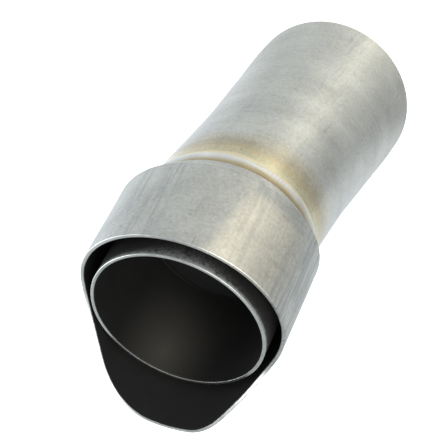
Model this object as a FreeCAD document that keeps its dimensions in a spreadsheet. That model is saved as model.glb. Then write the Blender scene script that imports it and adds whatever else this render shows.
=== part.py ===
import FreeCAD, Part
import math
import os
import Sketcher

# Exhaust baffle insert: a mitred tube and inner pipe, with a swaged tip sleeve and a weld bead.
# The tube stands on its expanded end at the origin, with its axis along +Z. The tip leans
# towards +Y by the kink angle, so the long lip of the mouth lies on the +Y side.
doc = FreeCAD.newDocument("baffle_insert")

DRIVING_SIZES = [
    ("tube_od", 50.8, "outside diameter of the main tube"),
    ("tube_wall", 1.2, "wall of the main tube"),
    ("tube_length", 100.3, "far end to the kink, along the axis"),
    ("straight_length", 45.0, "kink to the start of the taper"),
    ("expanded_length", 8.6, "parallel part at the far end"),
    ("expanded_od", 55.0, "outside diameter at the far end"),
    ("kink_angle", 17.0, "between the tube and the tip"),
    ("pipe_od", 50.8, "outside diameter of the inner pipe"),
    ("pipe_wall", 1.0, "wall of the inner pipe"),
    ("pipe_length", 35.6, "kink to the rim, along the axis"),
    ("sleeve_od", 59.8, "outside diameter of the tip sleeve"),
    ("sleeve_wall", 1.2, "wall of the tip sleeve"),
    ("sleeve_offset", 0.6, "sideways offset of the mouth from the pipe"),
    ("shoulder_top", 6.3, "kink to the start of the shoulder"),
    ("shoulder_lean", 3.6, "lean of the plane where the shoulder starts"),
    ("shoulder_swing", 7.0, "sideways lean of the same plane"),
    ("neck_rise", 1.2, "kink to the neck plane"),
    ("neck_swing", 2.1, "sideways lean of the neck and the weld"),
    ("neck_land", 0.8, "flat ring left round the neck bore"),
    ("mouth_setback", 5.0, "pipe rim down to the mouth, at the axis"),
    ("mouth_tilt", 4.9, "rise of the mouth away from the lip"),
    ("lip_reach", 13.9, "pipe rim up to the end of the lip"),
    ("lip_fall", 2.4, "slope of the end of the lip"),
    ("steep_foot", 24.7, "axis of the barrel to the foot of the steep flank"),
    ("steep_slope", 55.5, "rise of the steep flank"),
    ("steep_round", 9.3, "round between the steep flank and the lip end"),
    ("foot_round", 6.9, "round at the foot of the steep flank"),
    ("long_foot", 28.7, "axis of the barrel to the foot of the long flank"),
    ("long_slope", 56.0, "rise of the long flank"),
    ("long_round", 22.8, "round between the long flank and the lip end"),
    ("bead_toe", 3.4, "weld bead below the mitre plane"),
    ("bead_height", 0.4, "crown of the bead over its edges"),
    ("bead_edge", 1.2, "bead edge above the tube, at the neck"),
    ("bead_offset", 0.9, "fuller side of the bead"),
    ("bead_root", 2.4, "depth of the bead below the outside of the tube"),
    ("fit_gap", 0.1, "clearance round the tube and the pipe"),
    ("rim_break", 0.3, "deburred edge of each rim"),
]

ORIGIN = FreeCAD.Vector(0, 0, 0)
ALONG_X = FreeCAD.Vector(1, 0, 0)
SHOULDER_SECTIONS = 5
PLACEHOLDER_LEAN = 1.0
BARREL_START = (
    "dimensions.shoulder_top + dimensions.neck_rise + dimensions.sleeve_od / 2"
    " * (tan(dimensions.shoulder_lean) + tan(dimensions.shoulder_swing))"
)

sheet = doc.addObject("Spreadsheet::Sheet", "dimensions")
for row, (alias, value, meaning) in enumerate(DRIVING_SIZES, start=1):
    sheet.set("A%d" % row, meaning)
    sheet.set("B%d" % row, str(value))
    sheet.setAlias("B%d" % row, alias)
doc.recompute()


def size(alias):
    """A driving size from the sheet."""
    return float(sheet.get(alias))


def new_body(label):
    """An empty body whose label names the sub-part."""
    body = doc.addObject("PartDesign::Body", label)
    body.Label = label
    return body


def place_at_kink(body, turn):
    """Carry a body to the kink and lean it towards +Y by the angle that an expression gives."""
    body.Placement = FreeCAD.Placement(ORIGIN, FreeCAD.Rotation(-ALONG_X, PLACEHOLDER_LEAN))
    body.setExpression("Placement.Base.z", "dimensions.tube_length")
    body.setExpression("Placement.Rotation.Angle", turn)


def plane_of(body, role):
    """One of the body's own origin planes."""
    return next(item for item in body.Origin.OriginFeatures if item.Role == role)


def new_sketch(body, name, role):
    """A sketch on one of the body's origin planes."""
    sketch = body.newObject("Sketcher::SketchObject", name)
    sketch.AttachmentSupport = [(plane_of(body, role), "")]
    sketch.MapMode = "FlatFace"
    return sketch


def bind(sketch, index, name, formula):
    """Name a constraint and drive it from the sheet."""
    sketch.renameConstraint(index, name)
    sketch.setExpression("Constraints." + name, formula)


def circle_sketch(body, name, radius_formula, radius_now):
    """A circle about the body's axis, on the level plane."""
    sketch = new_sketch(body, name, "XY_Plane")
    sketch.addGeometry(Part.Circle(ORIGIN, FreeCAD.Vector(0, 0, 1), radius_now), False)
    sketch.addConstraint(Sketcher.Constraint("Coincident", 0, 3, -1, 1))
    index = sketch.addConstraint(Sketcher.Constraint("Radius", 0, radius_now))
    bind(sketch, index, "radius", radius_formula)
    return sketch


def polygon(sketch, corners):
    """A closed outline through the corners; returns the edge numbers."""
    points = [FreeCAD.Vector(a, b, 0) for a, b in corners]
    edges = []
    for start, end in zip(points, points[1:] + points[:1]):
        edges.append(sketch.addGeometry(Part.LineSegment(start, end), False))
    for here, after in zip(edges, edges[1:] + edges[:1]):
        sketch.addConstraint(Sketcher.Constraint("Coincident", here, 2, after, 1))
    return edges


def pin_point(sketch, edge, end, name, across, up):
    """Hold a point's two coordinates, each a pair of value now and formula.

    A formula is None where the coordinate is fixed.
    """
    for kind, axis, (value, formula) in (("DistanceX", "across", across), ("DistanceY", "up", up)):
        index = sketch.addConstraint(Sketcher.Constraint(kind, -1, 1, edge, end, value))
        if formula:
            bind(sketch, index, name + "_" + axis, formula)


def rim_edges(shape, low, high, shortest):
    """Names of the edges that lie between two heights, apart from the short ones across a wall."""
    names = []
    for number, edge in enumerate(shape.Edges, start=1):
        box = edge.BoundBox
        if box.ZMin > low and box.ZMax < high and edge.Length > shortest:
            names.append("Edge%d" % number)
    return names


def break_edges(body, feature, name, edge_names):
    """Deburr the named edges."""
    chamfer = body.newObject("PartDesign::Chamfer", name)
    chamfer.Base = (feature, edge_names)
    chamfer.Size = size("rim_break")
    chamfer.setExpression("Size", "dimensions.rim_break")


def pocket(body, sketch, name, reverse=False, both_ways=False):
    """Cut a sketch through everything."""
    cut = body.newObject("PartDesign::Pocket", name)
    cut.Profile = sketch
    cut.Type = "ThroughAll"
    cut.Midplane = both_ways
    cut.Reversed = reverse
    sketch.Visibility = False
    return cut


def mitre_cut(body, name, lean_formula, lean_now, height_formula, height_now, above):
    """Trim a tube along the leaning mitre plane, on the side that is asked for.

    The height is where the plane meets the axis; its formula is empty at the origin.
    """
    sketch = new_sketch(body, name + "_outline", "YZ_Plane")
    reach = size("sleeve_od")
    far = reach if above else -reach
    rise = math.tan(math.radians(lean_now)) * reach
    corners = [
        (-reach, height_now - rise),
        (reach, height_now + rise),
        (reach, height_now + rise + far),
        (-reach, height_now - rise + far),
    ]
    edges = polygon(sketch, corners)
    rise_formula = "tan(%s) * dimensions.sleeve_od" % lean_formula
    side = "+" if above else "-"
    for edge, sign, extra in ((0, "-", ""), (1, "+", ""), (2, "+", side), (3, "-", side)):
        across = (corners[edge][0], sign + "dimensions.sleeve_od")
        formula = "%s %s %s" % (height_formula, sign, rise_formula)
        if extra:
            formula += " %s dimensions.sleeve_od" % extra
        pin_point(sketch, edge, 1, "corner%d" % edge, across, (corners[edge][1], formula))
    return pocket(body, sketch, name, both_ways=True)


def build_main_tube():
    """The long tube: parallel at the kink, tapered out to an expanded end, mitred at the top."""
    body = new_body("main_tube")
    sketch = new_sketch(body, "tube_profile", "XZ_Plane")
    wall = size("tube_wall")
    small = size("tube_od") / 2
    large = size("expanded_od") / 2
    taper_top = size("tube_length") - size("straight_length")
    taper_foot = size("expanded_length")
    top = size("tube_length") + size("tube_od") / 2
    taper_top_formula = "dimensions.tube_length - dimensions.straight_length"
    top_formula = "dimensions.tube_length + dimensions.tube_od / 2"
    stations = [
        (large, "dimensions.expanded_od / 2", 0.0, None),
        (large, "dimensions.expanded_od / 2", taper_foot, "dimensions.expanded_length"),
        (small, "dimensions.tube_od / 2", taper_top, taper_top_formula),
        (small, "dimensions.tube_od / 2", top, top_formula),
    ]
    inner = [(r - wall, f + " - dimensions.tube_wall", z, g) for r, f, z, g in reversed(stations)]
    outline = stations + inner
    edges = polygon(sketch, [(r, z) for r, f, z, g in outline])
    for edge, (radius, radius_formula, height, height_formula) in zip(edges, outline):
        across = (radius, radius_formula)
        pin_point(sketch, edge, 1, "corner%d" % edge, across, (height, height_formula))
    turned = body.newObject("PartDesign::Revolution", "turned_tube")
    turned.Profile = sketch
    turned.ReferenceAxis = (sketch, ["V_Axis"])
    turned.Angle = 360.0
    sketch.Visibility = False
    lean = size("kink_angle") / 2
    mitre_cut(
        body, "tube_mitre", "-dimensions.kink_angle / 2", -lean,
        "dimensions.tube_length", size("tube_length"), above=True,
    )
    doc.recompute()
    rim = rim_edges(body.Tip.Shape, -wall, wall, 2 * wall)
    break_edges(body, body.Tip, "tube_rim", rim)
    return body


def build_inner_pipe():
    """The pipe inside the sleeve, from the mitre plane to a square rim."""
    body = new_body("inner_pipe")
    top = size("pipe_length")
    start = size("pipe_od") / 2
    outer = circle_sketch(body, "pipe_outside", "dimensions.pipe_od / 2", start)
    outer.AttachmentOffset = FreeCAD.Placement(FreeCAD.Vector(0, 0, -start), FreeCAD.Rotation())
    outer.setExpression("AttachmentOffset.Base.z", "-dimensions.pipe_od / 2")
    bar = body.newObject("PartDesign::Pad", "pipe_bar")
    bar.Profile = outer
    bar.Length = start + top
    bar.setExpression("Length", "dimensions.pipe_od / 2 + dimensions.pipe_length")
    outer.Visibility = False
    bore = circle_sketch(
        body, "pipe_inside", "dimensions.pipe_od / 2 - dimensions.pipe_wall", start - size("pipe_wall"),
    )
    pocket(body, bore, "pipe_bore", both_ways=True)
    mitre_cut(
        body, "pipe_mitre", "dimensions.kink_angle / 2", size("kink_angle") / 2,
        "", 0.0, above=False,
    )
    doc.recompute()
    wall = size("pipe_wall")
    rim = rim_edges(body.Tip.Shape, top - wall, top + wall, 2 * wall)
    break_edges(body, body.Tip, "pipe_rim", rim)
    place_at_kink(body, "dimensions.kink_angle")
    return body


def shoulder_section(body, name, turn, skin):
    """One ring of the shoulder, a quarter ellipse from the barrel (0 degrees) to the neck (90).

    The skin is what the ring stands back from the outside, as the end of a formula.
    """
    part_way = math.cos(math.radians(turn))
    fallen = math.sin(math.radians(turn))
    neck = "(dimensions.pipe_od / 2 + dimensions.fit_gap + dimensions.neck_land)"
    radius = "%s + (dimensions.sleeve_od / 2%s - %s) * %.6f" % (neck, skin, neck, part_way)
    drop = "(dimensions.shoulder_top - dimensions.neck_rise%s) * %.6f" % (skin, fallen)
    more_lean = "(dimensions.kink_angle / 2 - dimensions.shoulder_lean)"
    lean = "dimensions.shoulder_lean + %s * %.6f" % (more_lean, fallen)
    more_swing = "(dimensions.neck_swing - dimensions.shoulder_swing)"
    swing = "dimensions.shoulder_swing + %s * %.6f" % (more_swing, fallen)
    sketch = circle_sketch(body, name, radius, size("sleeve_od") / 2)
    sketch.setExpression("AttachmentOffset.Base.x", "dimensions.sleeve_offset * %.6f" % part_way)
    sketch.setExpression("AttachmentOffset.Base.z", "dimensions.shoulder_top - " + drop)
    sketch.setExpression("AttachmentOffset.Rotation.Roll", lean)
    sketch.setExpression("AttachmentOffset.Rotation.Pitch", "-(%s)" % swing)
    return sketch


def barrel_sketch(body, name, skin):
    """The level circle from which the barrel rises, clear of the leaning shoulder."""
    sketch = circle_sketch(body, name, "dimensions.sleeve_od / 2" + skin, size("sleeve_od") / 2)
    sketch.setExpression("AttachmentOffset.Base.x", "dimensions.sleeve_offset")
    sketch.setExpression("AttachmentOffset.Base.z", BARREL_START)
    return sketch


def sleeve_loft(body, kind, name, sections, ruled):
    """Join rings into a loft."""
    loft = body.newObject(kind, name)
    loft.Profile = sections[0]
    loft.Sections = sections[1:]
    loft.Ruled = ruled
    for section in sections:
        section.Visibility = False
    doc.recompute()


def sleeve_rings(body, side, skin):
    """The level ring of the barrel and the rings of the shoulder, for one side of the sheet."""
    barrel = barrel_sketch(body, side + "_barrel_ring", skin)
    turns = [90.0 * step / (SHOULDER_SECTIONS - 1) for step in range(SHOULDER_SECTIONS)]
    rings = [
        shoulder_section(body, "%s_ring%d" % (side, n), turn, skin)
        for n, turn in enumerate(turns)
    ]
    doc.recompute()
    return barrel, rings


def sleeve_outside(body):
    """The outside of the sheet as a solid: a round barrel down to the shoulder, then the shoulder."""
    barrel, rings = sleeve_rings(body, "outside", "")
    pad = body.newObject("PartDesign::Pad", "outside_barrel")
    pad.Profile = barrel
    top = "dimensions.pipe_length + dimensions.lip_reach + dimensions.sleeve_od / 2"
    pad.setExpression("Length", "%s - (%s)" % (top, BARREL_START))
    doc.recompute()
    sleeve_loft(body, "PartDesign::AdditiveLoft", "outside_waist", [barrel, rings[0]], True)
    sleeve_loft(body, "PartDesign::AdditiveLoft", "outside_shoulder", rings, False)


def sleeve_inside(body):
    """The inside of the sheet, cut away in the same three steps."""
    barrel, rings = sleeve_rings(body, "inside", " - dimensions.sleeve_wall")
    pocket(body, barrel, "inside_barrel", reverse=True)
    doc.recompute()
    sleeve_loft(body, "PartDesign::SubtractiveLoft", "inside_waist", [barrel, rings[0]], True)
    sleeve_loft(body, "PartDesign::SubtractiveLoft", "inside_shoulder", rings, False)


def tangent_point(corner, toward, setback):
    """The point on a side of an outline at a distance from its corner."""
    side = toward - corner
    return corner + side * (setback / side.Length)


def rounded_outline(sketch, corners):
    """A closed outline whose corners are driven points, some of them rounded by tangent arcs.

    Each corner holds its two coordinates and its radius, as pairs of value now and formula.
    """
    count = len(corners)
    points = [FreeCAD.Vector(across[0], up[0], 0) for across, up, radius in corners]
    starts = list(points)
    ends = list(points)
    for n, (across, up, radius) in enumerate(corners):
        if radius:
            before = points[n - 1] - points[n]
            after = points[(n + 1) % count] - points[n]
            setback = radius[0] / math.tan(before.getAngle(after) / 2)
            ends[n] = tangent_point(points[n], points[n - 1], setback)
            starts[n] = tangent_point(points[n], points[(n + 1) % count], setback)
    sides = []
    for n in range(count):
        line = Part.LineSegment(starts[n], ends[(n + 1) % count])
        sides.append(sketch.addGeometry(line, False))
    for n, (across, up, radius) in enumerate(corners):
        arriving = sides[n - 1]
        leaving = sides[n]
        if not radius:
            sketch.addConstraint(Sketcher.Constraint("Coincident", arriving, 2, leaving, 1))
            pin_point(sketch, leaving, 1, "corner%d" % n, across, up)
            continue
        toward_centre = (ends[n] + starts[n]) * 0.5 - points[n]
        reach = math.hypot(radius[0], (ends[n] - points[n]).Length)
        centre = tangent_point(points[n], points[n] + toward_centre, reach)
        inward = tangent_point(centre, points[n], radius[0])
        arc = sketch.addGeometry(Part.Arc(ends[n], inward, starts[n]), False)
        left_turn = (points[n] - points[n - 1]).cross(points[(n + 1) % count] - points[n]).z > 0
        first, last = (1, 2) if left_turn else (2, 1)
        sketch.addConstraint(Sketcher.Constraint("Tangent", arriving, 2, arc, first))
        sketch.addConstraint(Sketcher.Constraint("Tangent", arc, last, leaving, 1))
        index = sketch.addConstraint(Sketcher.Constraint("Radius", arc, radius[0]))
        bind(sketch, index, "round%d" % n, radius[1])
        corner = sketch.addGeometry(Part.Point(points[n]), True)
        pin_point(sketch, corner, 1, "corner%d" % n, across, up)
        sketch.addConstraint(Sketcher.Constraint("PointOnObject", corner, 1, arriving))
        sketch.addConstraint(Sketcher.Constraint("PointOnObject", corner, 1, leaving))


def near_outline(body):
    """What is cut away over the near half of the mouth, from the side: all above a sloping line."""
    sketch = new_sketch(body, "near_outline", "YZ_Plane")
    reach = size("sleeve_od")
    low = size("pipe_length") - size("mouth_setback")
    rise = reach * math.tan(math.radians(size("mouth_tilt")))
    top = size("pipe_length") + size("lip_reach") + reach
    low_formula = "dimensions.pipe_length - dimensions.mouth_setback"
    rise_formula = low_formula + " + dimensions.sleeve_od * tan(dimensions.mouth_tilt)"
    top_formula = "dimensions.pipe_length + dimensions.lip_reach + dimensions.sleeve_od"
    corners = [
        ((-reach, "-dimensions.sleeve_od"), (low + rise, rise_formula)),
        ((0.0, None), (low, low_formula)),
        ((0.0, None), (top, top_formula)),
        ((-reach, "-dimensions.sleeve_od"), (top, top_formula)),
    ]
    edges = polygon(sketch, [(across[0], up[0]) for across, up in corners])
    for edge, (across, up) in zip(edges, corners):
        pin_point(sketch, edge, 1, "corner%d" % edge, across, up)
    return sketch


def lip_outline(body):
    """What is cut away round the lip, seen face on: a steep flank, the lip's end and a long flank.

    The outline is centred on the barrel, which sits to one side of the pipe.
    """
    sketch = new_sketch(body, "lip_outline", "XZ_Plane")
    sketch.setExpression("AttachmentOffset.Base.x", "dimensions.sleeve_offset")
    reach = size("sleeve_od")
    low = size("pipe_length") - size("mouth_setback")
    high = size("pipe_length") + size("lip_reach")
    fall = math.tan(math.radians(size("lip_fall")))
    steep = math.tan(math.radians(size("steep_slope")))
    gentle = math.tan(math.radians(size("long_slope")))
    steep_top = (high - low - steep * size("steep_foot")) / (steep + fall)
    long_top = (low + gentle * size("long_foot") - high) / (gentle - fall)
    top = high + reach
    low_formula = "(dimensions.pipe_length - dimensions.mouth_setback)"
    high_formula = "(dimensions.pipe_length + dimensions.lip_reach)"
    fall_formula = "tan(dimensions.lip_fall)"
    steep_formula = "tan(dimensions.steep_slope)"
    gentle_formula = "tan(dimensions.long_slope)"
    steep_top_formula = "(%s - %s - %s * dimensions.steep_foot) / (%s + %s)" % (
        high_formula, low_formula, steep_formula, steep_formula, fall_formula,
    )
    long_top_formula = "(%s + %s * dimensions.long_foot - %s) / (%s - %s)" % (
        low_formula, gentle_formula, high_formula, gentle_formula, fall_formula,
    )
    low_pair = (low, low_formula)
    left = (-reach, "-dimensions.sleeve_od")
    right = (reach, "dimensions.sleeve_od")
    top_pair = (top, high_formula + " + dimensions.sleeve_od")
    rounded_outline(sketch, [
        (left, low_pair, None),
        (
            (-size("steep_foot"), "-dimensions.steep_foot"),
            low_pair,
            (size("foot_round"), "dimensions.foot_round"),
        ),
        (
            (steep_top, steep_top_formula),
            (high - fall * steep_top, "%s - %s * %s" % (high_formula, fall_formula, steep_top_formula)),
            (size("steep_round"), "dimensions.steep_round"),
        ),
        (
            (long_top, long_top_formula),
            (high - fall * long_top, "%s - %s * %s" % (high_formula, fall_formula, long_top_formula)),
            (size("long_round"), "dimensions.long_round"),
        ),
        ((size("long_foot"), "dimensions.long_foot"), low_pair, None),
        (right, low_pair, None),
        (right, top_pair, None),
        (left, top_pair, None),
    ])
    return sketch


def build_tip_sleeve():
    """The outer sleeve: a barrel swaged in to a leaning neck, with a mouth cut to a long lip."""
    body = new_body("tip_sleeve")
    sleeve_outside(body)
    sleeve_inside(body)
    neck = circle_sketch(
        body, "neck_inside", "dimensions.pipe_od / 2 + dimensions.fit_gap", size("pipe_od") / 2,
    )
    pocket(body, neck, "neck_bore", both_ways=True)
    doc.recompute()
    pocket(body, near_outline(body), "near_cut", both_ways=True)
    doc.recompute()
    pocket(body, lip_outline(body), "lip_cut")
    doc.recompute()
    place_at_kink(body, "dimensions.kink_angle")
    return body


def bar_axis(body, name, below):
    """A sketched line along the tube, below the mitre plane, or along the pipe above it."""
    sketch = new_sketch(body, name, "YZ_Plane")
    lean = math.radians(size("kink_angle") / 2)
    reach = size("tube_od")
    side = -1 if below else 1
    end = (reach * math.sin(lean), side * reach * math.cos(lean))
    sketch.addGeometry(Part.LineSegment(ORIGIN, FreeCAD.Vector(end[0], end[1], 0)), False)
    sketch.addConstraint(Sketcher.Constraint("Coincident", 0, 1, -1, 1))
    across = "dimensions.tube_od * sin(dimensions.kink_angle / 2)"
    up = "%d * dimensions.tube_od * cos(dimensions.kink_angle / 2)" % side
    pin_point(sketch, 0, 2, "end", (end[0], across), (end[1], up))
    sketch.Visibility = False
    return sketch


def core_pocket(body, name, body_od, below):
    """Clear the bead's inside round the tube below the mitre plane, or the pipe above it.

    A round bar that leans meets the mitre plane in an ellipse, which is cut along the bar.
    """
    axis = bar_axis(body, name + "_axis", below)
    sketch = new_sketch(body, name + "_outline", "XY_Plane")
    minor = size(body_od) / 2 + size("fit_gap")
    major = minor / math.cos(math.radians(size("kink_angle") / 2))
    ellipse = Part.Ellipse(FreeCAD.Vector(0, major, 0), FreeCAD.Vector(minor, 0, 0), ORIGIN)
    outline = sketch.addGeometry(ellipse, False)
    sketch.exposeInternalGeometry(outline)
    sketch.addConstraint(Sketcher.Constraint("Coincident", outline, 3, -1, 1))
    sketch.addConstraint(Sketcher.Constraint("Vertical", outline + 1))
    bar = "(dimensions.%s / 2 + dimensions.fit_gap)" % body_od
    long_way = sketch.addConstraint(Sketcher.Constraint("Distance", outline + 1, 2 * major))
    bind(sketch, long_way, "long_way", "2 * %s / cos(dimensions.kink_angle / 2)" % bar)
    short_way = sketch.addConstraint(Sketcher.Constraint("Distance", outline + 2, 2 * minor))
    bind(sketch, short_way, "short_way", "2 * " + bar)
    doc.recompute()
    cut = pocket(body, sketch, name, reverse=True)
    cut.ReferenceAxis = (axis, ["Edge1"])


def build_weld_bead():
    """The weld bead round the mitre, in the corner between the neck of the sleeve and the tube."""
    body = new_body("weld_bead")
    sketch = new_sketch(body, "bead_profile", "XZ_Plane")
    sketch.setExpression("AttachmentOffset.Base.x", "-dimensions.bead_offset")
    sketch.setExpression("AttachmentOffset.Rotation.Yaw", "dimensions.neck_swing")
    lean = size("kink_angle") / 2
    bar = size("tube_od") / 2
    root = bar - size("bead_root")
    top = size("neck_rise") * math.cos(math.radians(lean)) - size("fit_gap")
    toe = -size("bead_toe")
    shoulder = bar + size("bead_edge")
    crown_out = (bar + shoulder) / 2 + size("bead_height")
    crown_up = (top + toe) / 2
    crown = FreeCAD.Vector(crown_out, crown_up, 0)
    edge = FreeCAD.Vector(shoulder, top, 0)
    inner_edge = FreeCAD.Vector(root, top, 0)
    foot = FreeCAD.Vector(root, toe, 0)
    sketch.addGeometry(Part.LineSegment(edge, inner_edge), False)
    sketch.addGeometry(Part.LineSegment(inner_edge, foot), False)
    arc = sketch.addGeometry(Part.Arc(foot, crown, edge), False)
    ridge = sketch.addGeometry(Part.Point(crown), True)
    sketch.addConstraint(Sketcher.Constraint("Coincident", 0, 2, 1, 1))
    sketch.addConstraint(Sketcher.Constraint("Coincident", 1, 2, arc, 1))
    sketch.addConstraint(Sketcher.Constraint("Coincident", arc, 2, 0, 1))
    sketch.addConstraint(Sketcher.Constraint("PointOnObject", ridge, 1, arc))
    bar_formula = "dimensions.tube_od / 2"
    top_formula = "dimensions.neck_rise * cos(dimensions.kink_angle / 2) - dimensions.fit_gap"
    root_formula = bar_formula + " - dimensions.bead_root"
    ridge_out = bar_formula + " + dimensions.bead_edge / 2 + dimensions.bead_height"
    ridge_up = "(%s - dimensions.bead_toe) / 2" % top_formula
    pins = [
        (0, "edge", (shoulder, bar_formula + " + dimensions.bead_edge"), (top, top_formula)),
        (1, "root", (root, root_formula), (top, top_formula)),
        (arc, "foot", (root, root_formula), (toe, "-dimensions.bead_toe")),
        (ridge, "ridge", (crown_out, ridge_out), (crown_up, ridge_up)),
    ]
    for edge, name, across, up in pins:
        pin_point(sketch, edge, 1, name, across, up)
    ring = body.newObject("PartDesign::Revolution", "bead_ring")
    ring.Profile = sketch
    ring.ReferenceAxis = (sketch, ["V_Axis"])
    ring.Angle = 360.0
    sketch.Visibility = False
    doc.recompute()
    core_pocket(body, "tube_core", "tube_od", below=True)
    doc.recompute()
    core_pocket(body, "pipe_core", "pipe_od", below=False)
    doc.recompute()
    place_at_kink(body, "dimensions.kink_angle / 2")
    return body


def main():
    bodies = [build_main_tube(), build_inner_pipe(), build_tip_sleeve(), build_weld_bead()]
    doc.recompute()
    for item in doc.Objects:
        if "Invalid" in item.State or "Error" in item.State:
            raise RuntimeError("%s failed to build" % item.Label)
    os.makedirs("parts", exist_ok=True)
    for body in bodies:
        if body.Shape.isNull() or not body.Shape.isValid():
            raise RuntimeError("%s has no sound shape" % body.Label)
        body.Shape.exportStep("parts/%s.step" % body.Label)


main()
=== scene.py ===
import math

import bpy
import numpy as np
from bpy.props import FloatProperty, FloatVectorProperty, PointerProperty
from mathutils import Matrix, Vector


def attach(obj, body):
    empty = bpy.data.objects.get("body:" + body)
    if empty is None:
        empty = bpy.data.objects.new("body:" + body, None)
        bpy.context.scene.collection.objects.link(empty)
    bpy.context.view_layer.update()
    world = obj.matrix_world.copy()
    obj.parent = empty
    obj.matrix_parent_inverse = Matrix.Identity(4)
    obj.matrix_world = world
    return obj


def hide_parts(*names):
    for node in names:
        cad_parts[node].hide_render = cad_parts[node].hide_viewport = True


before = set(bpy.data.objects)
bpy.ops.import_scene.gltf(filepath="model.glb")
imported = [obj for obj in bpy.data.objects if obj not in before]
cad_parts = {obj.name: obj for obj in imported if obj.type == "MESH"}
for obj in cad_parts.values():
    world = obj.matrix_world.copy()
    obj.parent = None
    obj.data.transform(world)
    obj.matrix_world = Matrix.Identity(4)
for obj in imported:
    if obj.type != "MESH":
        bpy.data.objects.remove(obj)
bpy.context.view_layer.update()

bl_info = {
    "name": "Exhaust baffle insert",
    "version": (1, 0, 0),
    "blender": (4, 5, 0),
    "location": "View3D > Sidebar > Baffle insert",
    "description": "Builds the dressed pieces of an exhaust baffle insert round its CAD frame",
    "category": "Add Mesh",
}

# Unevenness of hand-fed sheet
SHEET_WAVES = 0.00005

# Rows across a cut edge, and the far end's, which is seen from further off
RIM_ROWS = 17
FAR_RIM_ROWS = 13

# A ring so far up the tip that its heat tint doesn't reach the piece
NO_TINT = (-0.2, 0.0, 0.0)

# Noise scales of the marks on the sheet, round it and along it
FINE_MARKS = (1300.0, 1300.0, 120.0)
LONG_STREAKS = (620.0, 620.0, 42.0)
ROUND_MARKS = (160.0, 160.0, 2200.0)
STREAK_GREY = (0.30, 0.33, 0.36, 1.0)

# Painted highlight on the pipe's far inner wall, in the bore's painted shade, in the tip's own
# frame
GLOW_PLACE = (0.0091, 0.0226, 0.0287)
GLOW_SHAPE = (1.0, 1.0, 0.62)
GLOW_REACH = 0.017
GLOW_COLOUR = (0.085, 0.080, 0.066, 1.0)

# Scales of the brushing, round a piece and along it, and the depth of the fine bumps
TUBE_BRUSH = (28.0, 1500.0)
SLEEVE_BRUSH = (70.0, 700.0)
BUMP_DEPTH = 0.00005

# Edge of the patch of burnish and painted highlight: its angle from -X round the tip at the kink,
# and its turn per metre
PATCH_BEARING = 1.049
PATCH_SLANT = 5.7

# Camera of the photograph: its axes, its place and a shift of half a pixel in 444
CAMERA_RIGHT = (-0.93385537, -0.01197185, -0.35745044)
CAMERA_UP = (0.18118766, -0.87753141, -0.44397033)
CAMERA_BACK = (-0.30835884, -0.47936969, 0.82165657)
CAMERA_PLACE = (-0.13548579, -0.21346847, 0.46126425)
CAMERA_LENS = 125.35
CAMERA_SENSOR = 36.0
HALF_PIXEL = 0.5 / 444.0

# Corners of the floor, and the point that the lamps face
FLOOR = ((-4.0, -4.0, 0.0), (4.0, -4.0, 0.0), (4.0, 4.0, 0.0), (-4.0, 4.0, 0.0))
STAGE_CENTRE = (0.0, 0.0, 0.07)


def length(label, description, default):
    """A length in metres."""
    return FloatProperty(
        name=label, description=description, default=default, precision=5, unit="LENGTH",
    )


def angle(label, description, degrees):
    """An angle, given in degrees and kept in radians."""
    return FloatProperty(
        name=label, description=description, default=math.radians(degrees),
        subtype="ANGLE", unit="ROTATION",
    )


def colour(label, description, default):
    """A colour in linear light."""
    return FloatVectorProperty(
        name=label, description=description, default=default,
        subtype="COLOR", min=0.0, max=2.0, size=3,
    )


def share(label, description, default):
    """A plain number from 0 to 1."""
    return FloatProperty(
        name=label, description=description, default=default, min=0.0, max=1.0, subtype="FACTOR",
    )


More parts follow.
